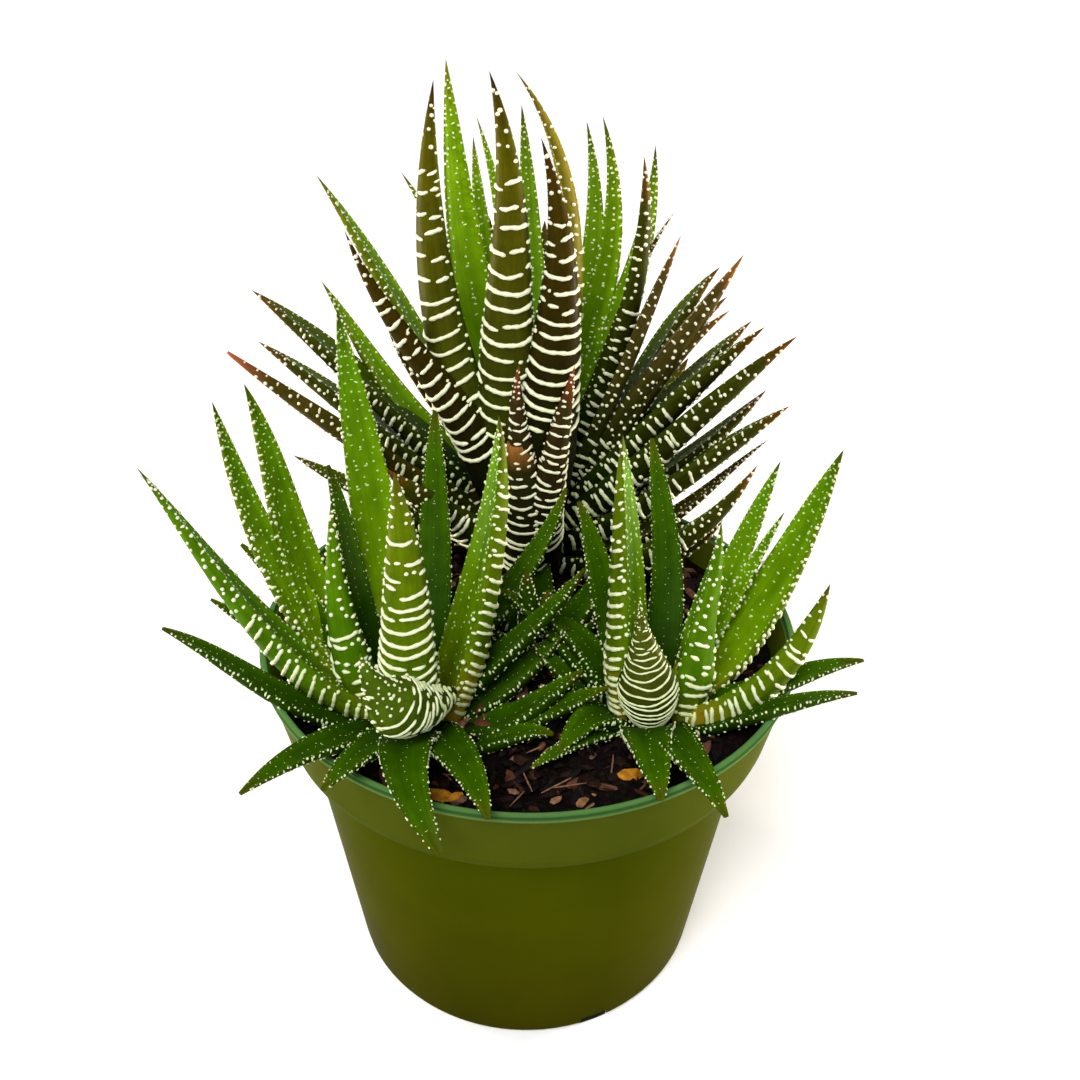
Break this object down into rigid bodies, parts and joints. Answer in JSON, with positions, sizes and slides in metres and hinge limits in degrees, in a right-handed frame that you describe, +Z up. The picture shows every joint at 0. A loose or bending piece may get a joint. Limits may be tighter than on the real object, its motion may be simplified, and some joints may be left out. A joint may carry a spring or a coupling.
{
  "type": "potted haworthia",
  "caption": "Clump of zebra haworthia rosettes with white-banded pointed leaves, growing in bark mix in a round tapered plastic nursery pot.",
  "frame": {"origin": "centre of the pot's flat underside", "axes": "+Z up, -Y towards the front, where the two bright rosettes stand, +X to the right seen from the front"},
  "size_m": [0.1355, 0.1498, 0.194],
  "materials": {
    "pot_plastic": "satin",
    "potting_mix": "matte",
    "stem": "matte",
    "dark_leaf": "satin",
    "bright_leaf": "satin"
  },
  "bodies": {
    "root": {"pot": "pot_plastic", "soil": "potting_mix", "back_stem": "stem", "left_stem": "stem", "right_stem": "stem", "centre_offset": "bright_leaf", "back_leaf_01": "dark_leaf", "back_leaf_02": "dark_leaf", "back_leaf_03": "dark_leaf", "back_leaf_04": "dark_leaf", "back_leaf_05": "dark_leaf", "back_leaf_06": "dark_leaf", "back_leaf_07": "dark_leaf", "back_leaf_08": "dark_leaf", "back_leaf_09": "dark_leaf", "back_leaf_10": "dark_leaf", "back_leaf_11": "dark_leaf", "back_leaf_12": "dark_leaf", "back_leaf_13": "dark_leaf", "back_leaf_14": "dark_leaf", "back_leaf_15": "dark_leaf", "back_leaf_16": "dark_leaf", "back_leaf_17": "dark_leaf", "back_leaf_18": "dark_leaf", "back_leaf_19": "dark_leaf", "back_leaf_20": "dark_leaf", "back_leaf_21": "dark_leaf", "back_leaf_22": "dark_leaf", "back_leaf_23": "dark_leaf", "back_leaf_24": "dark_leaf", "back_leaf_25": "dark_leaf", "back_leaf_26": "dark_leaf", "back_leaf_27": "dark_leaf", "back_leaf_28": "dark_leaf", "back_leaf_29": "dark_leaf", "left_leaf_01": "bright_leaf", "left_leaf_02": "bright_leaf", "left_leaf_03": "bright_leaf", "left_leaf_04": "bright_leaf", "left_leaf_05": "bright_leaf", "left_leaf_06": "bright_leaf", "left_leaf_07": "bright_leaf", "left_leaf_08": "bright_leaf", "left_leaf_09": "bright_leaf", "left_leaf_10": "bright_leaf", "left_leaf_11": "bright_leaf", "left_leaf_12": "bright_leaf", "left_leaf_13": "bright_leaf", "left_leaf_14": "bright_leaf", "left_leaf_15": "bright_leaf", "right_leaf_01": "bright_leaf", "right_leaf_02": "bright_leaf", "right_leaf_03": "bright_leaf", "right_leaf_04": "bright_leaf", "right_leaf_05": "bright_leaf", "right_leaf_06": "bright_leaf", "right_leaf_07": "bright_leaf", "right_leaf_08": "bright_leaf", "right_leaf_09": "bright_leaf", "right_leaf_10": "bright_leaf"}
  },
  "joints": []
}
